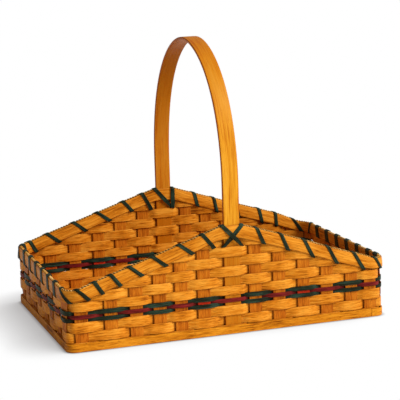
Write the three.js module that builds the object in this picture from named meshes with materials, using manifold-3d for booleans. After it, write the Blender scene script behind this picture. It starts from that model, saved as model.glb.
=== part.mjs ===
// Gathering basket woven of flat reed: a long, low tray whose long walls rise in a gable to a
// tall bentwood hoop. The hoop runs under the base as its middle crosswise stake.
// Millimetres, +Z up, +X along the basket, front wall towards -Y, origin under the middle.
import * as THREE from 'three';
import { mergeVertices } from 'three/addons/utils/BufferGeometryUtils.js';
import Module from 'manifold-3d';

// Overall sizes
const outsideLength = 461;
const outsideWidth = 300;
const peakHeight = 152;
const endHeight = 86.5;
const handleHeight = 395;

// Stakes and weavers
const stakeWidth = 18.3;
const stakeThickness = 1.2;
const weaverThickness = 1.0;
const weaverWidth = 12.5;
const snugWeaverWidth = 11;
const lockingWidth = 5.5;
const greenWidth = 4.3;
const maroonWidth = 4.0;
const rowGap = 1.2;
const accentGap = 0.7;
const jointGap = 0.6;
const clearance = 0.3;
const cornerRadius = 7.2;
// How far a strip lies flat past the edge of what it passes
const lead = 0.8;
const baseBendRadius = 3;

// Half the number of spaces between crosswise stakes, and the number of lengthwise stakes
const crossHalfCount = 6;
const longCount = 8;

// Full rows meet end to end inside a stake of the front wall, each row in turn at one of these
const jointStakes = [1, 3, 7, 9];

// How far each crosswise stake, and the handle in the middle, strayed from even spacing at the
// front and the back, as a hand-woven basket's do
const frontDrift = [0, 6, 6.6, 4.8, 0.2, -2.2, 4.4, 2.6, 2.6, 4, 4.1, 6.2, 0];
const backDrift = [0, -6, -3.2, -0.6, -0.6, 0.6, -0.6, -0.8, -2.7, -4.6, -3.3, -2.7, 0];

// Rims, foot band and the flat stretch of rim beside the handle
const bandThickness = 2;
const rimHeight = 18;
const rimCornerRadius = 8;
const peakFlat = 13;
const footHeight = 12;
const footLapFromCorner = 8;
const fillerRise = 0.8;
const fillerSides = 8;

// Handle
const handleWidth = 23;
const handleThickness = 5;
const handleTopThickness = 4;
const handleWovenThickness = 2.4;
const shoulderTaper = 1.5;
const archStart = 200;
const archShoulder = 135;
const archHalfTop = 59;
const archSteps = 16;

// Lashing
const lashWidth = 5.6;
const cornerLashWidth = 3.2;
const lashThickness = 0.6;
const lashSlant = 15;
const lashSlantGain = 9;
const lashCornerSlant = 1.6;
const lashSideRoom = 0.9;
const crossPlateau = 3.6;
const crossRamp = 7.5;

// Colours
const honeyReed = new THREE.MeshStandardMaterial({ color: 0xd98a24, roughness: 0.55, metalness: 0 });
const bandReed = new THREE.MeshStandardMaterial({ color: 0xe0942c, roughness: 0.55, metalness: 0 });
const bentwood = new THREE.MeshStandardMaterial({ color: 0xe29324, roughness: 0.45, metalness: 0 });
const greenReed = new THREE.MeshStandardMaterial({ color: 0x1f3d2c, roughness: 0.6, metalness: 0 });
const maroonReed = new THREE.MeshStandardMaterial({ color: 0x5c1420, roughness: 0.6, metalness: 0 });
const grassCord = new THREE.MeshStandardMaterial({ color: 0xb8802e, roughness: 0.8, metalness: 0 });

// Distances out from the wall's middle surface. A weaver lies outside or inside a stake at its
// reach, and the bands lie outside the furthest weaver and the handle's full thickness
const stakeReach = (stakeThickness + weaverThickness) / 2 + clearance;
const legReach = (handleWovenThickness + weaverThickness) / 2 + clearance;
const bandFace = Math.max(legReach + weaverThickness / 2, handleThickness / 2) + clearance;
const lashReach = bandFace + bandThickness + clearance + lashThickness / 2;
const holeReach = legReach + weaverThickness / 2 + clearance + lashThickness / 2;
const lashLift = lashThickness + clearance;

// The wall's middle surface, seen from above
const halfLength = outsideLength / 2 - bandThickness - bandFace;
const halfWidth = outsideWidth / 2 - bandThickness - bandFace;

// Heights of the base weave: the lowest strip under the handle's bar just clears the floor
const baseLevel = clearance + stakeThickness + clearance + handleWovenThickness / 2;
const fillerRadius = bandFace - clearance;
const fillerSink = fillerRadius - fillerRise;
const underFiller = fillerSink + fillerRadius + clearance;

// Height of the rim's top edge at a distance x from the middle: level, sloping, level
const slopeEnd = halfLength - rimCornerRadius;
const rimSlope = (peakHeight - endHeight) / (slopeEnd - peakFlat);

function rimTop(x) {
  const run = Math.min(Math.max(Math.abs(x) - peakFlat, 0), slopeEnd - peakFlat);
  return peakHeight - rimSlope * run;
}

// A walk round the basket, anticlockwise from above: sides 0 to 3 are front, right, back and left,
// each followed by its corner. s is the distance walked and t the distance from a side's middle
class WallPlan {
  constructor(radius) {
    this.radius = radius;
    this.straight = [halfLength - radius, halfWidth - radius];
    this.out = [halfWidth, halfLength];
    this.arc = Math.PI / 2 * radius;
    this.start = [0];
    for (let side = 0; side < 4; side++) {
      this.start.push(this.start[side] + 2 * this.straight[side % 2] + this.arc);
    }
    this.perimeter = this.start[4];
  }

  place(side, t) {
    return this.start[side] + this.straight[side % 2] + t;
  }

  // Point, outward direction and walking direction at distance s
  at(s) {
    const turn = ((s % this.perimeter) + this.perimeter) % this.perimeter;
    let side = 3;
    while (turn < this.start[side]) side--;
    const along = new THREE.Vector2(1, 0).rotateAround(new THREE.Vector2(), side * Math.PI / 2);
    const outward = new THREE.Vector2(along.y, -along.x);
    const straight = this.straight[side % 2];
    const t = turn - this.start[side] - straight;
    const angle = Math.max(t - straight, 0) / this.radius;
    const point = along.clone().multiplyScalar(Math.min(t, straight));
    point.addScaledVector(outward, this.out[side % 2] - this.radius);
    const normal = outward.clone().multiplyScalar(Math.cos(angle)).addScaledVector(along, Math.sin(angle));
    point.addScaledVector(normal, this.radius);
    return { point, normal, tangent: new THREE.Vector2(-normal.y, normal.x) };
  }

  // Distances where a strip from one place to another needs a point to go round its corners
  cornerStops(from, to, steps) {
    const stops = [];
    for (let turn = -1; turn <= 1; turn++) {
      for (let side = 0; side < 4; side++) {
        const first = this.start[side + 1] - this.arc + turn * this.perimeter;
        for (let i = 0; i <= steps; i++) stops.push(first + this.arc * i / steps);
      }
    }
    return stops.filter((s) => s > from && s < to);
  }
}

const wallPlan = new WallPlan(cornerRadius);
const rimPlan = new WallPlan(rimCornerRadius);

// Outline of a strip on edge, following a plan at a changing distance out from it
function stripOutline(plan, stops, reachAt, thickness) {
  const outer = [];
  const inner = [];
  for (const s of stops) {
    const { point, normal } = plan.at(s);
    outer.push(point.clone().addScaledVector(normal, reachAt(s) + thickness / 2));
    inner.push(point.clone().addScaledVector(normal, reachAt(s) - thickness / 2));
  }
  return new THREE.Shape(outer.concat(inner.reverse()));
}

function standingStrip(shape, low, high) {
  const geometry = new THREE.ExtrudeGeometry(shape, { depth: high - low, bevelEnabled: false });
  return geometry.translate(0, 0, low);
}

// A closed body through rings of points, each ring anticlockwise seen against the travel
function loft(rings) {
  const sides = rings[0].length;
  const positions = rings.flat().flatMap((p) => [p.x, p.y, p.z]);
  const index = [];
  for (let r = 0; r + 1 < rings.length; r++) {
    for (let i = 0; i < sides; i++) {
      const a = r * sides + i;
      const b = r * sides + (i + 1) % sides;
      index.push(a, b, b + sides, a, b + sides, a + sides);
    }
  }
  const last = (rings.length - 1) * sides;
  for (let i = 1; i + 1 < sides; i++) {
    index.push(0, i + 1, i);
    index.push(last, last + i, last + i + 1);
  }
  const geometry = new THREE.BufferGeometry();
  geometry.setAttribute('position', new THREE.Float32BufferAttribute(positions, 3));
  geometry.setIndex(index);
  return geometry;
}

const basket = new THREE.Group();
basket.name = 'gathering_basket';

function addPiece(name, geometry, material) {
  const mesh = new THREE.Mesh(geometry, material);
  mesh.name = name;
  basket.add(mesh);
  return mesh;
}

// Where every stake stands. The corner stakes stop where the corner's curve starts
const crossPitch = (halfLength - cornerRadius - stakeWidth / 2) / crossHalfCount;
const longSpread = halfWidth - cornerRadius - stakeWidth / 2;
const frontX = frontDrift.map((drift, i) => crossPitch * (i - crossHalfCount) + drift);
const backX = backDrift.map((drift, i) => crossPitch * (i - crossHalfCount) + drift);
const longY = Array.from({ length: longCount }, (_, j) => longSpread * (2 * j / (longCount - 1) - 1));

function standing(side, t, isLeg) {
  return {
    side,
    t,
    s: wallPlan.place(side, t),
    half: (isLeg ? handleWidth : stakeWidth) / 2,
    reach: isLeg ? legReach : stakeReach,
    isLeg,
  };
}

const stakes = [
  ...frontX.map((x, i) => standing(0, x, i === crossHalfCount)),
  ...longY.map((y) => standing(1, y, false)),
  ...backX.map((x, i) => standing(2, -x, i === crossHalfCount)).reverse(),
  ...longY.map((y) => standing(3, -y, false)).reverse(),
];

// Rows from the bottom up. An even row passes outside the even stakes
const rows = [];
let nextLow = baseLevel + baseBendRadius;

function stackRow(name, width, material, parity, gapAbove) {
  rows.push({ name, low: nextLow, high: nextLow + width, material, parity, gapAbove });
  nextLow += width + gapAbove;
}

stackRow('locking_row', lockingWidth, honeyReed, 0, rowGap);
stackRow('row_1', weaverWidth, honeyReed, 1, rowGap);
stackRow('row_2', weaverWidth, honeyReed, 0, rowGap);
stackRow('accent_green_low', greenWidth, greenReed, 1, accentGap);
stackRow('accent_maroon', maroonWidth, maroonReed, 0, accentGap);
stackRow('accent_green_high', greenWidth, greenReed, 1, rowGap);
stackRow('row_3', snugWeaverWidth, honeyReed, 0, rowGap);

// Half the length that a gable row may have before the sloping rims' filler is in its way
function gableReach(high) {
  return peakFlat + (peakHeight - underFiller - high) / rimSlope;
}

for (let number = 4; gableReach(nextLow + weaverWidth) > crossPitch; number++) {
  stackRow(`row_${number}`, weaverWidth, honeyReed, (number + 1) % 2, rowGap);
}

const topOfRows = rows.at(-1).high;

// In-and-out weave of one row from one place on the walk to another
function weaveRow(parity, from, to) {
  const knots = [];
  for (let turn = -1; turn <= 1; turn++) {
    stakes.forEach((stake, k) => {
      const reach = (k + parity) % 2 === 0 ? stake.reach : -stake.reach;
      const middle = stake.s + turn * wallPlan.perimeter;
      knots.push([middle - stake.half - lead, reach], [middle + stake.half + lead, reach]);
    });
  }
  const reachAt = (s) => {
    const after = knots.findIndex((knot) => knot[0] >= s);
    const [s0, r0] = knots[after - 1];
    const [s1, r1] = knots[after];
    return THREE.MathUtils.mapLinear(s, s0, s1, r0, r1);
  };
  const turns = knots.map((knot) => knot[0]).filter((s) => s > from && s < to);
  const bends = wallPlan.cornerStops(from, to, 4)
    .filter((s) => turns.every((knot) => Math.abs(knot - s) > 2 * lead));
  const stops = [from, ...turns, ...bends, to].sort((a, b) => a - b);
  return stripOutline(wallPlan, stops, reachAt, weaverThickness);
}

rows.forEach((row, number) => {
  if (row.high + underFiller <= endHeight) {
    const joint = stakes[jointStakes[number % jointStakes.length] + row.parity].s;
    const shape = weaveRow(row.parity, joint + jointGap / 2, joint + wallPlan.perimeter - jointGap / 2);
    addPiece(row.name, standingStrip(shape, row.low, row.high), row.material);
    return;
  }
  const reach = gableReach(row.high);
  for (const [label, side] of [['front', 0], ['back', 2]]) {
    const shape = weaveRow(row.parity, wallPlan.place(side, -reach), wallPlan.place(side, reach));
    addPiece(`${row.name}_${label}`, standingStrip(shape, row.low, row.high), row.material);
  }
});

// Side view of a stake: down one wall, across the base and up the other. base lists the points
// of the strip's middle line between the two bends, and half is the wall's distance out
function stakeProfile(half, tops, base) {
  const bendSteps = 4;
  const outside = [];
  const inside = [];
  const put = (u, v, nu, nv) => {
    outside.push(new THREE.Vector2(u + nu * stakeThickness / 2, v + nv * stakeThickness / 2));
    inside.push(new THREE.Vector2(u - nu * stakeThickness / 2, v - nv * stakeThickness / 2));
  };
  const bend = (centre, fromAngle) => {
    for (let i = 0; i <= bendSteps; i++) {
      const angle = fromAngle + Math.PI / 2 * i / bendSteps;
      const nu = Math.cos(angle);
      const nv = Math.sin(angle);
      put(centre + nu * baseBendRadius, baseLevel + baseBendRadius + nv * baseBendRadius, nu, nv);
    }
  };
  put(-half, tops[0], -1, 0);
  bend(baseBendRadius - half, Math.PI);
  for (const [u, v] of base) put(u, v, 0, -1);
  bend(half - baseBendRadius, -Math.PI / 2);
  put(half, tops[1], 1, 0);
  return new THREE.Shape(outside.concat(inside.reverse()));
}

function extrudedStake(shape, across) {
  const geometry = new THREE.ExtrudeGeometry(shape, { depth: stakeWidth, bevelEnabled: false });
  geometry.translate(0, 0, -stakeWidth / 2);
  const up = new THREE.Vector3(0, 0, 1);
  const side = new THREE.Vector3().crossVectors(across, up);
  return geometry.applyMatrix4(new THREE.Matrix4().makeBasis(across, up, side));
}

function stakeTop(x) {
  return rimTop(Math.abs(x) + stakeWidth / 2) - underFiller;
}

// A crosswise piece lies flat and straight. One that strayed at an end runs a little askew
function addCrosswise(name, geometry, i, material) {
  const skew = (backX[i] - frontX[i]) / (2 * halfWidth);
  geometry.applyMatrix4(new THREE.Matrix4().makeShear(0, 0, skew, 0, 0, 0));
  addPiece(name, geometry, material).position.x = (frontX[i] + backX[i]) / 2;
}

frontX.forEach((x, i) => {
  if (i === crossHalfCount) return;
  const shape = stakeProfile(halfWidth, [stakeTop(x), stakeTop(backX[i])], []);
  const number = i < crossHalfCount ? i + 1 : i;
  const name = `cross_stake_${String(number).padStart(2, '0')}`;
  addCrosswise(name, extrudedStake(shape, new THREE.Vector3(0, 1, 0)), i, honeyReed);
});

// Lengthwise stakes pass over and under the crosswise ones and the handle's bar
longY.forEach((y, j) => {
  const room = halfLength - baseBendRadius - lead;
  const base = [];
  frontX.forEach((x, i) => {
    const middle = THREE.MathUtils.mapLinear(y, -halfWidth, halfWidth, x, backX[i]);
    const isBar = i === crossHalfCount;
    const half = (isBar ? handleWidth : stakeWidth) / 2 + lead;
    const step = ((isBar ? handleWovenThickness : stakeThickness) + stakeThickness) / 2 + clearance;
    const level = baseLevel + ((i + j) % 2 === 0 ? step : -step);
    base.push([Math.max(middle - half, -room), level], [Math.min(middle + half, room), level]);
  });
  const top = endHeight - underFiller;
  const shape = stakeProfile(halfLength, [top, top], base);
  addPiece(`long_stake_${j + 1}`, extrudedStake(shape, new THREE.Vector3(1, 0, 0)), honeyReed)
    .position.y = y;
});

// Handle: half of the closed hoop's middle line from the bar's middle to the arch's top, as
// points with their outward direction and half thickness
function hoopHalf() {
  const line = [];
  const put = (y, z, angle, thickness) => line.push({ y, z, angle, half: thickness / 2 });
  const bendSteps = 6;
  for (let i = 0; i <= bendSteps; i++) {
    const angle = Math.PI / 2 * (i / bendSteps - 1);
    const y = halfWidth - baseBendRadius * (1 - Math.cos(angle));
    put(y, baseLevel + baseBendRadius * (1 + Math.sin(angle)), angle, handleWovenThickness);
  }
  const shoulder = topOfRows + clearance;
  put(halfWidth, shoulder, 0, handleWovenThickness);
  put(halfWidth, shoulder + shoulderTaper, 0, handleThickness);
  const crown = handleHeight - handleTopThickness / 2;
  const arch = new THREE.CubicBezierCurve(
    new THREE.Vector2(halfWidth, archStart),
    new THREE.Vector2(halfWidth, archStart + archShoulder),
    new THREE.Vector2(archHalfTop, crown),
    new THREE.Vector2(0, crown),
  );
  for (let i = 0; i <= archSteps; i++) {
    const part = i / archSteps;
    const point = arch.getPoint(part);
    const tangent = arch.getTangent(part);
    const thickness = THREE.MathUtils.lerp(handleThickness, handleTopThickness, part);
    put(point.x, point.y, Math.atan2(-tangent.x, tangent.y), thickness);
  }
  return line;
}

function hoopLoop(side) {
  const right = hoopHalf().map(({ y, z, angle, half }) => new THREE.Vector2(
    y + side * half * Math.cos(angle),
    z + side * half * Math.sin(angle),
  ));
  right.at(-1).x = 0;
  const left = right.slice(0, -1).reverse().map((p) => new THREE.Vector2(-p.x, p.y));
  return right.concat(left);
}

const hoopShape = new THREE.Shape(hoopLoop(1));
hoopShape.holes.push(new THREE.Path(hoopLoop(-1).reverse()));
const hoopGeometry = new THREE.ExtrudeGeometry(hoopShape, { depth: handleWidth, bevelEnabled: false });
hoopGeometry.translate(0, 0, -handleWidth / 2);
hoopGeometry.applyMatrix4(new THREE.Matrix4().makeBasis(
  new THREE.Vector3(0, 1, 0),
  new THREE.Vector3(0, 0, 1),
  new THREE.Vector3(1, 0, 0),
));
addCrosswise('handle_hoop', hoopGeometry, crossHalfCount, bentwood);

// Foot band: one plain strip round the bottom, its ends meeting near the front right corner
const footStart = wallPlan.place(0, halfLength - cornerRadius - footLapFromCorner);
const footEnd = footStart + wallPlan.perimeter - jointGap;
const footStops = [footStart, ...wallPlan.cornerStops(footStart, footEnd, 6), footEnd];
const footReach = bandFace + bandThickness / 2;
const footShape = stripOutline(wallPlan, footStops, () => footReach, bandThickness);
addPiece('foot_band', standingStrip(footShape, 0, footHeight), bandReed);

// Rims: strips on edge, cut by a band that is level at the ends and slopes up to the middle
const manifold = await Module();
manifold.setup();

function solidOf(geometry) {
  geometry.deleteAttribute('normal');
  geometry.deleteAttribute('uv');
  const merged = mergeVertices(geometry);
  return new manifold.Manifold(new manifold.Mesh({
    numProp: 3,
    vertProperties: merged.attributes.position.array,
    triVerts: new Uint32Array(merged.index.array),
  }));
}

function geometryOf(solid) {
  const mesh = solid.getMesh();
  const geometry = new THREE.BufferGeometry();
  geometry.setAttribute('position', new THREE.BufferAttribute(mesh.vertProperties, 3));
  geometry.setIndex(new THREE.BufferAttribute(mesh.triVerts, 1));
  return geometry;
}

const rimBandShape = new THREE.Shape();
const rimCorners = [-outsideLength, -slopeEnd, -peakFlat, peakFlat, slopeEnd, outsideLength];
rimBandShape.setFromPoints([
  ...rimCorners.map((x) => new THREE.Vector2(x, rimTop(x) - rimHeight)),
  ...rimCorners.map((x) => new THREE.Vector2(x, rimTop(x))).reverse(),
]);
const rimBandGeometry = new THREE.ExtrudeGeometry(rimBandShape, { depth: 2 * outsideWidth, bevelEnabled: false });
rimBandGeometry.translate(0, 0, -outsideWidth).rotateX(Math.PI / 2);
const rimBand = solidOf(rimBandGeometry);

// A rim goes once round, its ends meeting at a leg of the hoop, where the lashing crosses over them
function rimStrip(reach, leg) {
  const from = rimPlan.place(leg.side, leg.t) + jointGap / 2;
  const to = from + rimPlan.perimeter - jointGap;
  const stops = [from, ...rimPlan.cornerStops(from, to, 6), to];
  const shape = stripOutline(rimPlan, stops, () => reach, bandThickness);
  return geometryOf(solidOf(standingStrip(shape, 0, peakHeight + rimHeight)).intersect(rimBand));
}

const [frontLeg, backLeg] = stakes.filter((stake) => stake.isLeg);
addPiece('rim_outer', rimStrip(bandFace + bandThickness / 2, backLeg), bandReed);
addPiece('rim_inner', rimStrip(-bandFace - bandThickness / 2, frontLeg), bandReed);

// Place on the rims above one edge of a stake, 1 for its far edge along the walk and -1 for its near
function rimPlace(stake, edge) {
  return rimPlan.place(stake.side, stake.t + edge * stake.half);
}

// Filler cord in the groove between the rims, from one leg of the hoop round an end to the other
function fillerCord(fromLeg, toLeg) {
  const gap = clearance + fillerRadius * rimSlope;
  const round = toLeg.side < fromLeg.side ? rimPlan.perimeter : 0;
  const from = rimPlace(fromLeg, 1) + gap;
  const to = rimPlace(toLeg, -1) - gap + round;
  const slopeBreaks = [
    rimPlan.place(fromLeg.side, peakFlat),
    rimPlan.place(toLeg.side, -peakFlat) + round,
  ];
  const stops = [from, ...slopeBreaks, ...rimPlan.cornerStops(from, to, 5), to]
    .filter((s) => s >= from && s <= to)
    .sort((a, b) => a - b);
  return loft(stops.map((s) => {
    const { point, normal } = rimPlan.at(s);
    const ring = [];
    for (let i = 0; i < fillerSides; i++) {
      const angle = -2 * Math.PI * i / fillerSides;
      const reach = fillerRadius * Math.cos(angle);
      const height = rimTop(point.x) - fillerSink + fillerRadius * Math.sin(angle);
      ring.push(new THREE.Vector3(point.x + normal.x * reach, point.y + normal.y * reach, height));
    }
    return ring;
  }));
}

addPiece('rim_filler_right', fillerCord(frontLeg, backLeg), grassCord);
addPiece('rim_filler_left', fillerCord(backLeg, frontLeg), grassCord);

// Lashing: each stitch comes up inside, crosses the rims at top, slants down outside and goes
// back in at hole, through the gap between two rows just under the rims
const passHeights = rows
  .filter((row) => row.gapAbove >= lashThickness + 2 * clearance)
  .map((row) => row.high + row.gapAbove / 2);

function rimLow(s) {
  return rimTop(rimPlan.at(s).point.x) - rimHeight;
}

function passHeight(s) {
  const room = Math.min(rimLow(s - lashWidth / 2), rimLow(s + lashWidth / 2)) - lashThickness - clearance;
  return Math.max(...passHeights.filter((z) => z <= room));
}

// Slope of the rim along the walk
function climb(s) {
  return rimTop(rimPlan.at(s + 1).point.x) - rimTop(rimPlan.at(s).point.x);
}

function stitch(top, hole, width, more = {}) {
  return { top, hole, width, pass: passHeight(hole), innerLift: 0, cornerRoom: 0, ...more };
}

// In the hollow of a corner a flat stitch stands in by the curve's sag, or its edges would touch
const hollowRadius = rimCornerRadius - bandFace - bandThickness;
const hollowSag = hollowRadius - Math.sqrt(hollowRadius ** 2 - (cornerLashWidth / 2) ** 2);

const stitches = [];
stakes.forEach((stake, k) => {
  const next = stakes[(k + 1) % stakes.length];
  const beside = lashWidth / 2 + lashSideRoom;
  if (next.side !== stake.side) {
    const hole = rimPlan.start[stake.side + 1] - rimPlan.arc / 2;
    stitches.push(stitch(hole - lashCornerSlant, hole, cornerLashWidth, { cornerRoom: hollowSag }));
    return;
  }
  const gapStart = rimPlace(stake, 1);
  const gapEnd = rimPlace(next, -1);
  const slant = lashSlant + lashSlantGain * climb(gapStart);
  const straightStart = rimPlan.start[stake.side] + beside;
  if (next.isLeg) {
    const near = gapEnd - beside;
    const far = near - lashWidth - 2 * clearance;
    const beyond = rimPlace(next, 1) + beside;
    stitches.push(stitch(far - slant, far, lashWidth));
    stitches.push(stitch(beyond, near, lashWidth));
    stitches.push(stitch(near, beyond, lashWidth, { innerLift: lashLift, crossAt: (near + beyond) / 2 }));
    return;
  }
  if (stake.isLeg) return;
  const hole = gapStart + beside;
  stitches.push(stitch(Math.max(hole - slant, straightStart), hole, lashWidth));
  if (k === 0) {
    const second = gapEnd - beside;
    stitches.push(stitch(second - slant / 2, second, lashWidth));
  }
});

// Points of the strip's middle line in order. reach is the distance out from the wall, and tilt
// is the slope of the strip's width, level in the gaps and along the rim elsewhere
const lashLine = [];

function lashPoint(s, reach, z, width, tilt) {
  lashLine.push({ s, reach, z, width, tilt });
}

// Place on a slanted run where the strip clears the rim's lower edge
function kneeOn(sTop, zTop, sHole, zHole) {
  let low = 0;
  let high = 1;
  for (let i = 0; i < 30; i++) {
    const part = (low + high) / 2;
    const s = THREE.MathUtils.lerp(sTop, sHole, part);
    const z = THREE.MathUtils.lerp(zTop, zHole, part);
    if (z > rimLow(s) - lashThickness / 2 - clearance) low = part;
    else high = part;
  }
  return { s: THREE.MathUtils.lerp(sTop, sHole, high), z: THREE.MathUtils.lerp(zTop, zHole, high) };
}

function addStitch(now, before) {
  const rimHeightAt = rimTop(rimPlan.at(now.top).point.x);
  const shoulder = rimHeightAt + clearance + lashThickness / 2;
  const crest = rimHeightAt + fillerRise + clearance + lashThickness / 2;
  const tilt = climb(now.top);
  const inner = kneeOn(now.top, shoulder, before.hole, before.pass);
  lashPoint(before.hole, -holeReach - now.innerLift, before.pass, before.width, 0);
  lashPoint(inner.s, -lashReach - now.innerLift - before.cornerRoom, inner.z, before.width, climb(inner.s));
  lashPoint(now.top, -lashReach - now.innerLift - now.cornerRoom, shoulder, now.width, tilt);
  lashPoint(now.top, 0, crest, now.width, tilt);
  lashPoint(now.top, lashReach, shoulder, now.width, tilt);
  if (now.crossAt !== undefined) {
    const heightAt = (s) => THREE.MathUtils.mapLinear(s, now.top, now.hole, shoulder, now.pass);
    for (const [away, rise] of [[-crossRamp, 0], [-crossPlateau, lashLift], [crossPlateau, lashLift]]) {
      const s = now.crossAt + away;
      lashPoint(s, lashReach + rise, heightAt(s), now.width, 0);
    }
  } else {
    const outer = kneeOn(now.top, shoulder, now.hole, now.pass);
    lashPoint(outer.s, lashReach, outer.z, now.width, climb(outer.s));
  }
  lashPoint(now.hole, holeReach, now.pass, now.width, 0);
}

const lastStitch = stitches.at(-1);
addStitch(stitches[0], { ...lastStitch, hole: lastStitch.hole - rimPlan.perimeter });
for (let i = 1; i < stitches.length; i++) addStitch(stitches[i], stitches[i - 1]);

// The strip's two ends are tucked into the wall at the same hole
lashLine.unshift({ ...lashLine[0], reach: -jointGap });
lashLine.push({ ...lashLine.at(-1), reach: jointGap });

function lashRing(i) {
  const here = lashLine[i];
  const before = lashLine[Math.max(i - 1, 0)];
  const after = lashLine[Math.min(i + 1, lashLine.length - 1)];
  const normals = [[before, here], [here, after]].map(([a, b]) => {
    const run = new THREE.Vector2(b.reach - a.reach, b.z - a.z);
    return new THREE.Vector2(run.y, -run.x).normalize();
  }).filter((normal) => normal.length() > 0);
  const mitre = normals[0].clone().add(normals.at(-1)).divideScalar(2);
  mitre.divideScalar(mitre.lengthSq());
  const { point, normal, tangent } = rimPlan.at(here.s);
  const corner = (across, off) => {
    const reach = here.reach + off * mitre.x * lashThickness / 2;
    const walk = across * here.width / 2;
    return new THREE.Vector3(
      point.x + normal.x * reach + tangent.x * walk,
      point.y + normal.y * reach + tangent.y * walk,
      here.z + off * mitre.y * lashThickness / 2 + here.tilt * walk,
    );
  };
  return [corner(-1, -1), corner(-1, 1), corner(1, 1), corner(1, -1)];
}

addPiece('lashing', loft(lashLine.map((_, i) => lashRing(i))), greenReed);

export default basket;
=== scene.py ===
# Looks of a gathering basket: a long, low tray woven of flat reed, rimmed with two bands that a
# green strip laces together, under one tall bentwood hoop. The sections follow the order in which
# such a basket is put together. Metres, +Z up, +X along the basket, front wall towards -Y.
import math
import bpy
import numpy as np
from mathutils import Matrix, Vector


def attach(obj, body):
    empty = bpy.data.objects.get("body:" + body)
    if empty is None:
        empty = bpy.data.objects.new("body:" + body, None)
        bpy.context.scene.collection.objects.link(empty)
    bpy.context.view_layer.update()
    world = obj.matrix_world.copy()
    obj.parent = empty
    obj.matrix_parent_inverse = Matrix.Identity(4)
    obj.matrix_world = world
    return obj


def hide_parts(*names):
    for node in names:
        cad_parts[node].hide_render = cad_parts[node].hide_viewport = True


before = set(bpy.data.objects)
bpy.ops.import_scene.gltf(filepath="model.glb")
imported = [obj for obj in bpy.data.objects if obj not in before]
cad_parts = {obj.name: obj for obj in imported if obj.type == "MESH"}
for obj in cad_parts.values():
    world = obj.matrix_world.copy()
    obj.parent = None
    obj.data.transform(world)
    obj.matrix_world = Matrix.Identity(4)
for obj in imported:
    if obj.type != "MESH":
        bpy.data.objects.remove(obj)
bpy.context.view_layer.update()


# Crosswise stakes: twelve flat strips of rattan reed, laid side by side across the base and bent
# up as the front and back walls. Each was soaked, creased over an edge and left to dry, and the
# finished basket was stained, so the grain runs along the strip and takes the stain unevenly.

outside_length = 0.461
outside_width = 0.300
stake_width = 0.0183
stake_thickness = 0.0012
weaver_thickness = 0.0010
handle_thickness = 0.005
woven_handle_thickness = 0.0024
band_thickness = 0.002
clearance = 0.0003
corner_radius = 0.0072
bend_radius = 0.003
cross_half_count = 6
# How far each of these stakes stands from its even place in the front and in the back wall, in mm
front_drift = [0, 6, 6.6, 4.8, 0.2, -2.2, 4.4, 2.6, 2.6, 4, 4.1, 6.2, 0]
back_drift = [0, -6, -3.2, -0.6, -0.6, 0.6, -0.6, -0.8, -2.7, -4.6, -3.3, -2.7, 0]

leg_reach = (woven_handle_thickness + weaver_thickness) / 2 + clearance
band_face = max(leg_reach + weaver_thickness / 2, handle_thickness / 2) + clearance
half_length = outside_length / 2 - band_thickness - band_face
half_width = outside_width / 2 - band_thickness - band_face
base_level = clearance + stake_thickness + clearance + woven_handle_thickness / 2

cross_pitch = (half_length - corner_radius - stake_width / 2) / cross_half_count
even_x = cross_pitch * (np.arange(2 * cross_half_count + 1) - cross_half_count)
front_x = even_x + np.array(front_drift) / 1000
back_x = even_x + np.array(back_drift) / 1000

# The rims' top edge is level beside the handle, slopes, and is level round the ends. It is listed
# in pairs: each pair gives a place along the basket in m and how far the edge strays up there in mm
peak_height = 0.152
end_height = 0.0865
peak_flat = 0.013
end_flat = 0.010
rim_easing = 0.008
filler_rise = 0.0014
filler_radius = 0.0019
filler_sink = filler_radius - filler_rise
under_filler = filler_sink + filler_radius + clearance
slope_end = half_length - end_flat
rim_slope = (peak_height - end_height) / (slope_end - peak_flat)
front_stray = np.array([
    (-0.226, -4.0), (-0.20, -2.6), (-0.17, -2.1), (-0.11, -2.7), (-0.04, -2.0), (0.0, -0.6),
    (0.03, 0.4), (0.08, 0.0), (0.11, -0.6), (0.14, -2.0), (0.17, -2.4), (0.20, -2.0), (0.224, -4.2)])
back_stray = np.array([
    (-0.226, 2.2), (-0.20, 3.0), (-0.06, 2.8), (0.03, 0.8), (0.12, 0.0), (0.16, 0.2),
    (0.19, 0.0), (0.212, -3.4), (0.224, -6.2)])


def rim_top(x, y):
    """Height of the rims' top edge above a place, its breaks eased as a bent strip eases them."""
    eased = np.asarray(x)[..., None] + np.linspace(-rim_easing, rim_easing, 9)
    run = np.clip(np.abs(eased) - peak_flat, 0, slope_end - peak_flat)
    level = (peak_height - rim_slope * run).mean(-1)
    front, back = [np.interp(eased, *line.T).mean(-1) / 1000 for line in (front_stray, back_stray)]
    return level + front + (back - front) * np.clip(0.5 + np.asarray(y) / half_width / 2, 0, 1)


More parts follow.
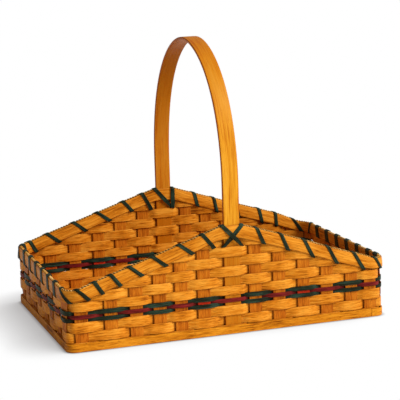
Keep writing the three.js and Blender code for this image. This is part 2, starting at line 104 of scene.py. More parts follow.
class Walk:
    """The wall's middle seen from above, walked anticlockwise: front, right, back and left side,
    each followed by its corner."""

    def __init__(self, radius, lean_left, lean_right):
        self.radius = radius
        self.shift = (lean_right - lean_left) / 2
        self.out = np.array([half_width, half_length + (lean_right + lean_left) / 2])
        self.straight = self.out[::-1] - radius
        self.arc = math.pi / 2 * radius
        self.start = [0.0]
        for side in range(4):
            self.start.append(self.start[side] + 2 * self.straight[side % 2] + self.arc)
        self.round = self.start[4]

    def place(self, side, t):
        return self.start[side] + self.straight[side % 2] + t - self.shift * (1, 0, -1, 0)[side]

    def at(self, s):
        """Points, outward directions and walking directions at the distances s."""
        s = np.mod(s, self.round)
        side = np.clip(np.searchsorted(self.start, s, side="right") - 1, 0, 3)
        angle = side * math.pi / 2
        along = np.stack([np.cos(angle), np.sin(angle)], -1)
        outward = np.stack([along[..., 1], -along[..., 0]], -1)
        straight = self.straight[side % 2]
        t = s - np.array(self.start)[side] - straight
        turn = (np.maximum(t - straight, 0) / self.radius)[..., None]
        normal = outward * np.cos(turn) + along * np.sin(turn)
        point = along * np.minimum(t, straight)[..., None]
        point = point + outward * (self.out[side % 2] - self.radius)[..., None] + normal * self.radius
        point[..., 0] += self.shift
        return point, normal, np.stack([-normal[..., 1], normal[..., 0]], -1)


# The corners' radius grows by corner_opening, over a height of opening_height above opening_low.
# The end walls lean out by left_lean and right_lean at the heights lean_heights
corner_opening = 0.0148
opening_low = 0.012
opening_height = 0.058
lean_heights = [0.010, 0.030, 0.058, 0.078]
left_lean = [0, 0.0027, 0.0031, 0.0029]
right_lean = [0, 0.0040, 0.0060, 0.0070]


def wall(z):
    """The walk at a height. The corners open out towards the rims, which don't bend as sharply as
    the base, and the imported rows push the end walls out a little, the right one more."""
    opened = np.clip((z - opening_low) / opening_height, 0, 1)
    radius = corner_radius + corner_opening * opened * opened * (3 - 2 * opened)
    return Walk(radius, np.interp(z, lean_heights, left_lean), np.interp(z, lean_heights, right_lean))


def plank(side, t, z):
    """Where a stake's middle stands in the wall, and which way it faces: across a corner's curve
    it lies as the chord does."""
    walk = wall(z)
    s = walk.place(side, t)
    (near, middle, far), _, _ = walk.at(s + stake_width / 2 * np.array([-1, 0, 1]))
    along = (far - near) / np.linalg.norm(far - near)
    return (near + 2 * middle + far) / 4, np.array([along[1], -along[0]])


def plug(node, inputs):
    """Links or sets a node's inputs. A node given as a value stands for its first output in use."""
    for key, value in inputs.items():
        fitting = [s for s in node.inputs if s.name == key and s.enabled]
        socket = node.inputs[key] if isinstance(key, int) else fitting[0]
        if isinstance(value, bpy.types.Node):
            value = [s for s in value.outputs if s.enabled][0]
        if isinstance(value, bpy.types.NodeSocket):
            node.id_data.links.new(value, socket)
        else:
            socket.default_value = value


def add(tree, kind, inputs=None, **settings):
    """Adds one node to a tree, with its settings and with a link or a value for each input."""
    node = tree.nodes.new(kind)
    for key, value in settings.items():
        setattr(node, key, value)
    plug(node, inputs or {})
    return node


def new_tree(name, inputs):
    """A new tree of geometry nodes that takes a path, these inputs and a material and makes one
    piece, and the sockets from which its nodes get these."""
    tree = bpy.data.node_groups.new(name, "GeometryNodeTree")
    for title, kind in (("Path", "Geometry"), *inputs, ("Material", "Material")):
        tree.interface.new_socket(title, in_out="INPUT", socket_type="NodeSocket" + kind)
    tree.interface.new_socket("Piece", in_out="OUTPUT", socket_type="NodeSocketGeometry")
    return tree, add(tree, "NodeGroupInput").outputs


def strip_tree():
    """Geometry nodes that sweep a flat strip along a path whose points carry its frame: where it
    faces, which way its width goes, and how wide and thick it is there."""
    tree, given = new_tree("flat strip", (
        ("Width", "Float"), ("Thickness", "Float"), ("Squareness", "Float"), ("Crown", "Float"),
        ("Ripple", "Float"), ("Ripple Length", "Float"), ("Section Points", "Int"),
        ("Number", "Float"), ("Turned", "Bool")))

    # The path keeps its places and their distances from its start
    spot = add(tree, "GeometryNodeInputPosition")
    run = add(tree, "GeometryNodeSplineParameter").outputs["Length"]
    line = add(tree, "GeometryNodeMeshToCurve", {"Mesh": given["Path"]})
    for name, value, kind in (("along", run, "FLOAT"), ("place", spot, "FLOAT_VECTOR")):
        line = add(tree, "GeometryNodeStoreNamedAttribute", {
            "Geometry": line, "Name": name, "Value": value}, data_type=kind)

    # The section is a circle whose coordinates are raised to a power, which squares it off
    circle = add(tree, "GeometryNodeCurvePrimitiveCircle", {
        "Resolution": given["Section Points"], "Radius": 1.0})
    round_xyz = add(tree, "ShaderNodeSeparateXYZ", {0: spot}).outputs
    square = {}
    for axis in (0, 1):
        size = add(tree, "ShaderNodeMath", {0: round_xyz[axis]}, operation="ABSOLUTE")
        size = add(tree, "ShaderNodeMath", {0: size, 1: given["Squareness"]}, operation="POWER")
        sign = add(tree, "ShaderNodeMath", {0: round_xyz[axis]}, operation="SIGN")
        square[axis] = add(tree, "ShaderNodeMath", {0: size, 1: sign}, operation="MULTIPLY")
    outline = add(tree, "GeometryNodeStoreNamedAttribute", {
        "Geometry": circle, "Name": "section", "Value": add(tree, "ShaderNodeCombineXYZ", square),
    }, data_type="FLOAT_VECTOR")
    body = add(tree, "GeometryNodeCurveToMesh", {
        "Curve": line, "Profile Curve": outline, "Fill Caps": True})

    carried = {}
    for kind, names in (("FLOAT", ("along", "wide", "thick")),
                        ("FLOAT_VECTOR", ("section", "place", "side", "facing"))):
        for name in names:
            carried[name] = add(tree, "GeometryNodeInputNamedAttribute", {"Name": name}, data_type=kind)
    across, through = add(tree, "ShaderNodeSeparateXYZ", {0: carried["section"]}).outputs[:2]
    half = {}
    for given_size, factor in (("Width", "wide"), ("Thickness", "thick")):
        size = add(tree, "ShaderNodeMath", {0: given[given_size], 1: 0.5}, operation="MULTIPLY")
        half[factor] = add(tree, "ShaderNodeMath", {0: size, 1: carried[factor]}, operation="MULTIPLY")

    # Each edge of each strip wavers in its own way, because it reads the noise at its own place
    stretch = add(tree, "ShaderNodeMath", {
        0: carried["along"], 1: given["Ripple Length"]}, operation="DIVIDE")
    edge_sign = add(tree, "ShaderNodeMath", {0: across}, operation="SIGN")
    edge_place = add(tree, "ShaderNodeMath", {0: edge_sign, 1: 5.0}, operation="MULTIPLY")
    strip_place = add(tree, "ShaderNodeMath", {0: given["Number"], 1: 3.7}, operation="MULTIPLY")
    noise_at = add(tree, "ShaderNodeCombineXYZ", {0: stretch, 1: edge_place, 2: strip_place})
    ripple = add(tree, "ShaderNodeMath", {0: given["Ripple"], 1: 2.0}, operation="MULTIPLY")
    offset = add(tree, "ShaderNodeTexNoise", {"Vector": noise_at, "Scale": 1.0, "Detail": 1.0})
    for operation, value in (("SUBTRACT", 0.5), ("MULTIPLY", ripple), ("ADD", half["wide"]),
                             ("MULTIPLY", across)):
        offset = add(tree, "ShaderNodeMath", {0: offset, 1: value}, operation=operation)

    # The outer face is crowned: highest in the middle, and nothing at the edges
    from_middle = add(tree, "ShaderNodeMath", {0: across}, operation="ABSOLUTE")
    fall = add(tree, "ShaderNodeMath", {0: from_middle, 1: 2.0}, operation="POWER")
    outer = add(tree, "ShaderNodeMath", {0: through, 1: 0.0}, operation="GREATER_THAN")
    level = add(tree, "ShaderNodeMath", {0: through, 1: half["thick"]}, operation="MULTIPLY")
    lift = add(tree, "ShaderNodeMath", {0: 1.0, 1: fall}, operation="SUBTRACT")
    for operation, value in (("MULTIPLY", given["Crown"]), ("MULTIPLY", outer), ("ADD", level)):
        lift = add(tree, "ShaderNodeMath", {0: lift, 1: value}, operation=operation)

    # From its place on the path, each corner goes sideways by offset and outwards by lift
    position = carried["place"]
    for way, far in (("side", offset), ("facing", lift)):
        shift = add(tree, "ShaderNodeVectorMath", {0: carried[way], "Scale": far}, operation="SCALE")
        position = add(tree, "ShaderNodeVectorMath", {0: position, 1: shift}, operation="ADD")
    body = add(tree, "GeometryNodeSetPosition", {"Geometry": body, "Position": position})
    grain = add(tree, "ShaderNodeCombineXYZ", {0: carried["along"], 1: offset, 2: given["Number"]})
    inner = add(tree, "ShaderNodeMath", {0: 1.0, 1: outer}, operation="SUBTRACT")
    for name, value, kind in (("grain", grain, "FLOAT_VECTOR"), ("edge", from_middle, "FLOAT"),
                              ("inner", inner, "FLOAT")):
        body = add(tree, "GeometryNodeStoreNamedAttribute", {
            "Geometry": body, "Name": name, "Value": value}, data_type=kind)

    # Smooth all over, but for edges sharper than 1 radian
    body = add(tree, "GeometryNodeSetShadeSmooth", {"Geometry": body, "Shade Smooth": True})
    angle = add(tree, "GeometryNodeInputMeshEdgeAngle").outputs[0]
    sharp = add(tree, "ShaderNodeMath", {0: angle, 1: 1.0}, operation="GREATER_THAN")
    body = add(tree, "GeometryNodeSetShadeSmooth", {
        "Geometry": body, "Selection": sharp, "Shade Smooth": False}, domain="EDGE")
    body = add(tree, "GeometryNodeRealizeInstances", {"Geometry": body})
    body = add(tree, "GeometryNodeFlipFaces", {"Mesh": body, "Selection": given["Turned"]})
    body = add(tree, "GeometryNodeSetMaterial", {"Geometry": body, "Material": given["Material"]})
    add(tree, "NodeGroupOutput", {"Piece": body})
    return tree


flat_strip = strip_tree()
strip_numbers = iter(range(1, 1000))


def make(name, path, tree, inputs, material, loop=False, **attributes):
    """Runs a tree on a path of points and turns the result into a plain mesh that stands for the
    part's node of the same name."""
    count = len(path)
    edges = [(i, i + 1) for i in range(count - 1)] + ([(count - 1, 0)] if loop else [])
    mesh = bpy.data.meshes.new(name)
    mesh.from_pydata([tuple(p) for p in path], edges, [])
    for key, value in attributes.items():
        value = np.asarray(value, np.float32)
        kind = "FLOAT_VECTOR" if value.ndim == 2 else "FLOAT"
        layer = mesh.attributes.new(key, kind, "POINT")
        layer.data.foreach_set("vector" if value.ndim == 2 else "value", value.ravel())
    piece = bpy.data.objects.new("look_" + name, mesh)
    bpy.context.scene.collection.objects.link(piece)
    modifier = piece.modifiers.new("shape", "NODES")
    modifier.node_group = tree
    sockets = {s.name: s.identifier for s in tree.interface.items_tree if s.in_out == "INPUT"}
    for key, value in {**inputs, "Material": material}.items():
        modifier[sockets[key]] = value
    evaluated = piece.evaluated_get(bpy.context.evaluated_depsgraph_get())
    finished = bpy.data.meshes.new_from_object(evaluated)
    piece.modifiers.clear()
    piece.data = finished
    for key in ("place", "section", "facing", "side", "wide", "thick", "along"):
        if key in finished.attributes:
            finished.attributes.remove(finished.attributes[key])
    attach(piece, "root")
    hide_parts(name)
    return piece


def strip(name, path, facing, width, thickness, material, slot, side=None, wide=1.0, thick=1.0,
          stain=0.0, loop=False, square=0.25, crown=0.0, ripple=0.0, ripple_length=0.05, points=12):
    """A flat strip whose middle follows path. facing is the way its good side looks, and side the
    way its width goes. Where side, facing and the path make a left-handed frame, the sweep comes
    out inside out and its faces are turned."""
    path = np.asarray(path, float)
    facing = np.asarray(facing, float)
    ahead = np.roll(path, -1, 0) - np.roll(path, 1, 0)
    if not loop:
        ahead[0] = path[1] - path[0]
        ahead[-1] = path[-1] - path[-2]
    if side is None:
        side = np.cross(ahead, facing)
        side /= np.linalg.norm(side, axis=1)[:, None]
    inside_out = bool((np.cross(side, facing) * ahead).sum() < 0)
    each = np.ones(len(path))
    piece = make(name, path, flat_strip, {
        "Width": width, "Thickness": thickness, "Squareness": square, "Crown": crown,
        "Ripple": ripple, "Ripple Length": ripple_length, "Section Points": points,
        "Number": float(next(strip_numbers)), "Turned": inside_out,
    }, material, loop, facing=facing, side=side, wide=wide * each, thick=thick * each,
        stain=stain * each)
    return piece


def colour(code):
    """Linear RGBA from an sRGB hex code."""
    parts = [int(code[i:i + 2], 16) / 255 for i in (1, 3, 5)]
    return [c / 12.92 if c <= 0.04045 else ((c + 0.055) / 1.055) ** 2.4 for c in parts] + [1.0]


def reed(name, pale, middle, dark, roughness, edge_stain_and_shade=0.55, behind=0.1, coarse=1.0, length=1.0,
         second_stain=None):
    """Split rattan reed, oil stained. Streaks and fibres run along it, short pits hold dark
    staining, its edges are darker both from staining gathered there and from painted shade where
    it meets its neighbours, on the rows a painted shadow darkens the slit beside a stake, and it
    is satin, not glossy. The fibres are drawn two or three times as coarse as the real ones,
    which wouldn't show."""
    material = bpy.data.materials.new(name)
    material.use_nodes = True
    tree = material.node_tree
    grain = add(tree, "ShaderNodeAttribute", attribute_name="grain").outputs["Vector"]
    # The stain value is real dye on the stakes and the hoop, and a painted slit shadow on the rows
    edge, inner, stained = [add(tree, "ShaderNodeAttribute", attribute_name=key).outputs["Fac"]
                            for key in ("edge", "inner", "stain")]
    marks = {}
    for mark, along, across, detail, distortion in (
        # Each with its number per metre along and across the grain: streaks are 24 by 2 mm,
        # fibres 12 by 0.8 mm, patches 33 by 14 mm and pits 6 by 0.8 mm
        ("streaks", 42.0, 500.0, 3.0, 0.7), ("fibres", 80.0, 1300.0, 2.0, 0.0),
        ("patches", 30.0, 70.0, 1.0, 0.0), ("pits", 160.0, 1200.0, 0.0, 0.0),
    ):
        spread = add(tree, "ShaderNodeVectorMath", {
            0: grain, 1: (along / length, across / coarse, 7.3)}, operation="MULTIPLY")
        marks[mark] = add(tree, "ShaderNodeTexNoise", {
            "Vector": spread, "Scale": 1.0, "Detail": detail, "Distortion": distortion})
    tone = add(tree, "ShaderNodeMath", {0: marks["streaks"], 1: 0.45}, operation="MULTIPLY")
    for mark, share in (("fibres", 0.25), ("patches", 0.30)):
        tone = add(tree, "ShaderNodeMath", {0: marks[mark], 1: share, 2: tone}, operation="MULTIPLY_ADD")
    ramp = add(tree, "ShaderNodeValToRGB", {"Fac": tone})
    stops = ramp.color_ramp.elements
    stops[0].position, stops[0].color = 0.33, colour(dark)
    stops[1].position, stops[1].color = 0.61, colour(pale)
    stops.new(0.465).color = colour(middle)

    # The colour darkens towards dark where each of these values rises from its first number to its
    # second: stain that pools at the edges together with painted shade where the strip meets its
    # neighbours, dark stain in the pits, a darker inner face, and on the rows a painted shadow in the
    # slit beside a stake. Its third number is how much of the darkening shows at most
    stain_and_shade_darkening = [(edge, 0.91, 1.0, edge_stain_and_shade), (marks["pits"], 0.64, 0.74, 0.4), (inner, 0.0, 1.0, behind)]
    # On the rows the stain value is a painted shadow in the slit beside a stake, laid on the outer or
    # the inner face as its sign says
    if not second_stain:
        face_sign = add(tree, "ShaderNodeMath", {0: inner, 1: -2.0, 2: 1.0}, operation="MULTIPLY_ADD")
        painted_slit_shade = add(tree, "ShaderNodeMath", {0: stained, 1: face_sign}, operation="MULTIPLY")
        stain_and_shade_darkening.append((painted_slit_shade, 0.0, 1.0, 0.75))
    final = ramp
    for value, low, high, most in stain_and_shade_darkening:
        share = add(tree, "ShaderNodeMapRange", {
            "Value": value, "From Min": low, "From Max": high, "To Min": 0.0, "To Max": most})
        final = add(tree, "ShaderNodeMix", {
            "Factor": share, "A": final, "B": colour(dark)}, data_type="RGBA")
    if second_stain:
        dye = add(tree, "ShaderNodeMix", {
            "Factor": marks["fibres"], "A": colour(second_stain[0]), "B": colour(second_stain[1]),
        }, data_type="RGBA")
        final = add(tree, "ShaderNodeMix", {"Factor": stained, "A": final, "B": dye}, data_type="RGBA")
    rough = add(tree, "ShaderNodeMath", {
        0: marks["streaks"], 1: 0.2, 2: roughness - 0.1}, operation="MULTIPLY_ADD")
    relief = add(tree, "ShaderNodeMath", {0: marks["pits"], 1: -0.3, 2: tone}, operation="MULTIPLY_ADD")
    bump = add(tree, "ShaderNodeBump", {"Height": relief, "Strength": 0.5, "Distance": 0.0008})
    plug(tree.nodes["Principled BSDF"], {
        "Base Color": final, "Roughness": rough, "Normal": bump, "IOR": 1.5,
        "Specular IOR Level": 0.22, "Specular Tint": colour("#ffc070")})
    return material


# The stakes are redder and darker than the weavers: they took more stain, and the darker colour
# also paints in the shade on their faces, which lie deeper in the wall than the rows that cross
# over them. Where some of them show between the two green rows, from dye_low to dye_high, they
# are stained bright red
stake_reed = reed("stained_stake_reed", "#d27c1c", "#b86010", "#743204", 0.5,
                  second_stain=("#d8361c", "#9c180c"))
stake_step = 0.006
dye_low = 0.0449
dye_high = 0.0493
dye_fade = 0.0002


def upright(half, tops, base):
    """Middle line of a stake in its own upright plane, with the way its outer face looks: down one
    wall, across the base and up the other. base lists the points between the two bends."""
    floor = base_level + bend_radius
    dye_edges = [dye_low - dye_fade, dye_low + dye_fade, dye_high - dye_fade, dye_high + dye_fade]
    lines = []
    for top, sign in zip(tops, (-1, 1)):
        heights = sorted([*np.arange(floor, top, stake_step), *dye_edges, top], reverse=sign < 0)
        side = [(sign * half, z, sign, 0.0) for z in heights]
        angles = np.linspace(0, math.pi / 2, 7) + (math.pi if sign < 0 else 1.5 * math.pi)
        bend = [(sign * (half - bend_radius) + bend_radius * math.cos(a),
                 floor + bend_radius * math.sin(a), math.cos(a), math.sin(a)) for a in angles]
        lines.append(side[:-1] + bend if sign < 0 else bend + side[1:])
    return np.array(lines[0] + [(u, v, 0.0, -1.0) for u, v in base] + lines[1])


def stake(name, line, sides, ts, on_base, axis, **looks):
    """A stake along such a line. sides and ts are its places in the two walls, and on_base gives
    the place on the base at a distance along axis."""
    path = []
    facing = []
    for u, v, nu, nv in line:
        if abs(nv) < 1e-9:
            end = int(u > 0)
            spot, out = plank(sides[end], ts[end], v)
        else:
            spot, out = on_base(u), nu * axis
        path.append((*spot, v))
        facing.append((*out, nv))
    return strip(name, path, facing, stake_width, stake_thickness, stake_reed, "stake_reed",
                 ripple=0.00012, **looks)


# Which stakes are red in the front and in the back wall, and how strongly
dyed_front = {5: 1.0, 9: 1.0}
dyed_back = {1: 0.5, 3: 1.0}
for i in range(2 * cross_half_count + 1):
    if i == cross_half_count:
        continue
    number = i + 1 if i < cross_half_count else i
    tops = [float(rim_top(x + math.copysign(stake_width / 2, x), y) - under_filler)
            for x, y in ((front_x[i], -1), (back_x[i], 1))]
    across = np.linspace(-(half_width - bend_radius), half_width - bend_radius, 24)[1:-1]
    line = upright(half_width, tops, [(u, base_level) for u in across])
    in_dye = (line[:, 1] > dye_low) & (line[:, 1] < dye_high)
    dyed = in_dye * np.where(line[:, 0] < 0, dyed_front.get(i, 0.0), dyed_back.get(i, 0.0))

    def lying(u, i=i):
        return np.interp(u, [-half_width, half_width], [front_x[i], back_x[i]]), u

    stake(f"cross_stake_{number:02d}", line, (0, 2), (front_x[i], -back_x[i]), lying, np.array([0, 1]),
          stain=dyed)


# Lengthwise stakes: eight strips of the same reed along the base, woven over and under the
# crosswise ones and the handle's bar, and bent up as the two end walls.

long_count = 8
handle_width = 0.023
lead = 0.0008
long_spread = half_width - corner_radius - stake_width / 2
long_y = np.linspace(-long_spread, long_spread, long_count)

for j, y in enumerate(long_y):
    room = half_length - bend_radius - lead
    base = []
    for i in range(2 * cross_half_count + 1):
        middle = np.interp(y, [-half_width, half_width], [front_x[i], back_x[i]])
        is_bar = i == cross_half_count
        half = (handle_width if is_bar else stake_width) / 2 + lead
        crossed = woven_handle_thickness if is_bar else stake_thickness
        step = (crossed + stake_thickness) / 2 + clearance
        level = base_level + (step if (i + j) % 2 == 0 else -step)
        start, end = max(middle - half, -room), min(middle + half, room)
        if base:
            for part in np.linspace(0, 1, 8)[1:-1]:
                eased = part * part * (3 - 2 * part)
                base.append((last[0] + (start - last[0]) * part, last[1] + (level - last[1]) * eased))
        base += [(u, level) for u in np.linspace(start, end, 5)]
        last = base[-1]

    def lying(u, y=y):
        return u, y

    tops = [float(rim_top(x, y) - under_filler) for x in (-half_length, half_length)]
    line = upright(half_length, tops, base)
    stake(f"long_stake_{j + 1}", line, (3, 1), (-y, y), lying, np.array([1, 0]))


# Hoop handle: one strip of hardwood, steamed, bent round a form and smoothed, its legs shaved
# thin below the shoulder where they stand in the weave and run on under the base. The wood is
# finer and straighter in grain than the reed and has more gloss, and its edges are worn round.

handle_height = 0.395
handle_top_thickness = 0.004
leg_bottom = 0.012
rows_top = 0.1348
shoulder_height = 0.003
above_shoulder = 0.145
arch_start = 0.200
arch_shoulder = 0.135
arch_half_top = 0.059


def hoop_half():
    """Half of the hoop from the bar's middle to the crown: y, z, angle of the outer face, thickness."""
    line = [(y, base_level, -math.pi / 2, woven_handle_thickness)
            for y in np.linspace(0, half_width - bend_radius, 14)[:-1]]
    for angle in np.linspace(-math.pi / 2, 0, 7):
        line.append((half_width - bend_radius * (1 - math.cos(angle)),
                     base_level + bend_radius * (1 + math.sin(angle)), angle, woven_handle_thickness))
    for z in np.linspace(leg_bottom, rows_top + clearance, 12):
        line.append((half_width, z, 0, woven_handle_thickness))
    for part in np.linspace(0, 1, 5)[1:]:
        eased = part * part * (3 - 2 * part)
        line.append((half_width, rows_top + clearance + shoulder_height * part, 0,
                     woven_handle_thickness + (handle_thickness - woven_handle_thickness) * eased))
    for z in np.linspace(above_shoulder, arch_start, 6)[:-1]:
        line.append((half_width, z, 0, handle_thickness))
    crown = handle_height - handle_top_thickness / 2
    ends = np.array([[half_width, arch_start], [half_width, arch_start + arch_shoulder],
                     [arch_half_top, crown], [0, crown]])
    for part in np.linspace(0, 1, 41):
        rest = 1 - part
        spot = (rest ** 3 * ends[0] + 3 * rest ** 2 * part * ends[1]
                + 3 * rest * part ** 2 * ends[2] + part ** 3 * ends[3])
        way = (rest ** 2 * (ends[1] - ends[0]) + 2 * rest * part * (ends[2] - ends[1])
               + part ** 2 * (ends[3] - ends[2]))
        line.append((spot[0], spot[1], math.atan2(-way[0], way[1]),
                     handle_thickness + (handle_top_thickness - handle_thickness) * part))
    return np.array(line)


def hardwood(name, pale, middle, dark):
    """Bent hardwood, such as ash or oak, sanded and stained: long fine grain, a satin varnish that
    gives the arch its sheen, a darker inner face, darker staining round the tight bend of the crown
    and where the legs stand in the weave, and painted shade on its narrow edges."""
    material = reed(name, pale, middle, dark, 0.42, edge_stain_and_shade=0.95, behind=0.5, coarse=0.7, length=2.6,
                    second_stain=("#c66c0a", "#8e4200"))
    plug(material.node_tree.nodes["Principled BSDF"], {
        "Specular IOR Level": 0.12, "Coat Weight": 0.04, "Coat Roughness": 0.3})
    return material


handle_wood = hardwood("stained_bent_hardwood", "#eeaa34", "#e49a22", "#a43e00")
half_hoop = hoop_half()
mirror = half_hoop[-2:0:-1] * [-1, 1, 1, 1]
mirror[:, 2] = math.pi - mirror[:, 2]
hoop = np.r_[half_hoop, mirror]
drunk_stain = np.interp(hoop[:, 1], [rows_top - 0.004, rows_top, 0.22, 0.34, handle_height],
                        [0.7, 0.0, 0.0, 0.5, 0.7])
bar_ends = [front_x[cross_half_count], back_x[cross_half_count]]
hoop_x = np.interp(hoop[:, 0], [-half_width, half_width], bar_ends)
strip("handle_hoop", np.c_[hoop_x, hoop[:, 0], hoop[:, 1]],
      np.c_[0 * hoop_x, np.cos(hoop[:, 2]), np.sin(hoop[:, 2])], handle_width, 1.0, handle_wood,
      "handle_wood", thick=hoop[:, 3], stain=drunk_stain, loop=True, square=0.2, points=20)


# Weavers: rows of thinner reed wound round the stakes, each over one and under the next, every
# row the other way from the one below, and beaten down tight. A full row starts and ends behind
# the same stake. The gable rows reach only as far as the sloping rims cover their ends.

stake_reach = (stake_thickness + weaver_thickness) / 2 + clearance


def standing(side, t, is_leg=False):
    """A stake as the weavers meet it: half its width, and how far out they pass it."""
    return {"side": side, "t": t, "leg": is_leg, "half": (handle_width if is_leg else stake_width) / 2,
            "reach": leg_reach if is_leg else stake_reach}


stakes = (
    [standing(0, x, i == cross_half_count) for i, x in enumerate(front_x)]
    + [standing(1, y) for y in long_y]
    + [standing(2, -x, i == cross_half_count) for i, x in enumerate(back_x)][::-1]
    + [standing(3, -y) for y in long_y][::-1]
)

row_gap = 0.0012
accent_gap = 0.0007
joint_gap = 0.0006
joint_stakes = (1, 3, 7, 9)    # behind which of the front stakes the rows start, in turn
rows = []
next_low = base_level + bend_radius
for name, width, kind, parity, gap in (
    ("locking_row", 0.0055, "weaver", 0, row_gap),
    ("row_1", 0.0125, "weaver", 1, row_gap),
    ("row_2", 0.0125, "weaver", 0, row_gap),
    ("accent_green_low", 0.0043, "green", 1, accent_gap),
    ("accent_maroon", 0.0040, "maroon", 0, accent_gap),
    ("accent_green_high", 0.0043, "green", 1, row_gap),
    ("row_3", 0.0110, "weaver", 0, row_gap),
    ("row_4", 0.0125, "weaver", 1, row_gap),
    ("row_5", 0.0125, "weaver", 0, row_gap),
    ("row_6", 0.0125, "weaver", 1, row_gap),
    ("row_7", 0.0125, "weaver", 0, row_gap),
    ("row_8", 0.0125, "weaver", 1, row_gap),
):
    rows.append({"name": name, "low": next_low, "high": next_low + width, "kind": kind,
                 "parity": parity, "gap": gap})
    next_low += width + gap


# A row dives behind a stake steeply and comes out gently, because it lies level for dive_room past
# a stake's edge on the side of a dive, and only for rise_room on the side where it comes out
dive_room = 0.0022
rise_room = 0.0004
weaver_swell = 0.0008
leg_swell = 0.0003
swell_skew = 1.6
weave_step = 0.0022
end_room = 0.0002
# Places beside a stake where a painted shadow darkens the slit: how far from it, how wide, and how wide
# its faded edge
crease_room = 0.0006
crease_half = 0.0008
crease_fade = 0.0016
crease_stops = 0.0012 * np.array([-2, -1, 0, 1, 2])
# A row is a little wider than its place, so that it overlaps the next ones where it is clear of
# the stakes' faces by more than clear_reach
row_overlap = 0.0002
clear_overlap = 0.0008
clear_reach = 0.0006


def weave(row, walk, start, end):
    """Points, outward directions, spread and painted slit shade of one row: eased from outside one
    stake to inside the next, and overlapping its neighbours where it is clear of them. It bulges
    most towards one end of each span, where it dives behind a stake, and a painted shadow darkens
    the slit beside that stake: on its outer face where that value is 1, on its inner one where it
    is -1."""
    knots = []
    creases = []
    for turn in (-1, 0, 1):
        for k, one in enumerate(stakes):
            over = (k + row["parity"]) % 2 == 0
            middle = walk.place(one["side"], one["t"]) + turn * walk.round
            reach = one["reach"] * (1 if over else -1)
            swell = leg_swell if one["leg"] else weaver_swell
            before, after = (rise_room, dive_room) if over else (dive_room, rise_room)
            knots.append((middle - one["half"] - before, reach, swell))
            knots.append((middle + one["half"] + after, reach, 0.0))
            creases.append((middle + one["half"] + crease_room, -1) if over else
                           (middle - one["half"] - crease_room, 1))
    knots = np.array(knots)
    creases = np.array(creases)
    s = np.linspace(start, end, int((end - start) / weave_step) + 2)
    near = np.add.outer(creases[:, 0], crease_stops).ravel()
    s = np.sort(np.r_[s, near[(near > start + end_room) & (near < end - end_room)]])
    i = np.searchsorted(knots[:, 0], s, side="right") - 1
    part = (s - knots[i, 0]) / (knots[i + 1, 0] - knots[i, 0])
    reach = knots[i, 1] + (knots[i + 1, 1] - knots[i, 1]) * part * part * (3 - 2 * part)
    skewed = np.where(knots[i, 1] > 0, part ** swell_skew, 1 - (1 - part) ** swell_skew)
    reach += knots[i, 2] * np.sin(math.pi * skewed) * np.sign(knots[i, 1])
    point, normal, _ = walk.at(s)
    clear = np.clip((np.abs(reach) - clear_reach) / clear_reach, 0, 1)
    spread = row["gap"] + row_overlap + clear_overlap * clear
    # The row gets a painted shadow beside the nearest slit, fading away from it
    away = np.abs(s[:, None] - creases[:, 0])
    faded = np.clip((away.min(1) - crease_half) / crease_fade, 0, 1)
    stain = creases[away.argmin(1), 1] * (1 - faded)
    return point + normal * reach[:, None], normal, spread, stain


# The plain weavers are the palest reed, warm yellow brown. The narrow rows were dyed before the
# weaving, forest green that is nearly black in the shade, and a dull wine red
weaver_reed = reed("stained_weaver_reed", "#ee9f34", "#d07a16", "#743006", 0.46)
green_reed = reed("dyed_green_reed", "#26463a", "#0c2019", "#030806", 0.5, edge_stain_and_shade=0.7)
maroon_reed = reed("dyed_maroon_reed", "#8a2024", "#5e1016", "#2e080a", 0.5, edge_stain_and_shade=0.5)
row_looks = {"weaver": (weaver_reed, "weaver_reed"), "green": (green_reed, "green_reed"),
             "maroon": (maroon_reed, "maroon_reed")}


def weaver(row, name, walk, start, end):
    """One row, or a gable's part of it, from start to end."""
    points, normal, spread, stain = weave(row, walk, start, end)
    level = 0 * points[:, :1] + (row["low"] + row["high"]) / 2
    width = row["high"] - row["low"]
    material, slot = row_looks[row["kind"]]
    strip(name, np.hstack([points, level]), np.hstack([normal, 0 * level]), width,
          weaver_thickness, material, slot, wide=1 + spread / width, stain=stain, crown=0.0001,
          ripple=0.0001, ripple_length=0.03)


for number, row in enumerate(rows):
    walk = wall((row["low"] + row["high"]) / 2)
    if row["high"] + under_filler <= end_height:
        joint = stakes[joint_stakes[number % 4] + row["parity"]]
        start = walk.place(joint["side"], joint["t"]) + joint_gap / 2
        weaver(row, row["name"], walk, start, start + walk.round - joint_gap)
        continue
    for label, side, y in (("front", 0, -1), ("back", 2, 1)):
        x = np.linspace(-half_length, half_length, 901)
        covered = x[rim_top(x, y) - under_filler > row["high"]] * (1 if side == 0 else -1)
        ends = [walk.place(side, t) for t in (covered.min(), covered.max())]
        weaver(row, f"{row['name']}_{label}", walk, *ends)


# Foot band: one plain strip of heavier reed round the bottom, outside the weave, its ends
# meeting near the front right corner. The basket stands on its lower edge.

foot_height = 0.012
foot_lap = 0.008
foot_room = 0.0001
# Heavier reed, with broader streaks
band_reed = reed("stained_band_reed", "#e29624", "#c87812", "#703404", 0.46, coarse=1.2)
foot_walk = wall(0)
foot_start = foot_walk.place(0, half_length - corner_radius - foot_lap)
s = np.linspace(foot_start, foot_start + foot_walk.round - joint_gap, 640)
point, normal, _ = foot_walk.at(s)
level = np.full((len(s), 1), foot_height / 2)
reach = band_face + band_thickness / 2 - foot_room
strip("foot_band", np.hstack([point + normal * reach, level]), np.hstack([normal, 0 * level]),
      foot_height, band_thickness - 2 * foot_room, band_reed, "band_reed",
      crown=0.0002, ripple=0.0001, square=0.3)


# Rims: two bands of flat-oval reed, rounded on the side away from the wall, that pinch the top of
# the weave between them, and lean together except beside the hoop's thick legs. Each is bent once
# round and meets itself at a leg, the outer one at the back and the inner one at the front.

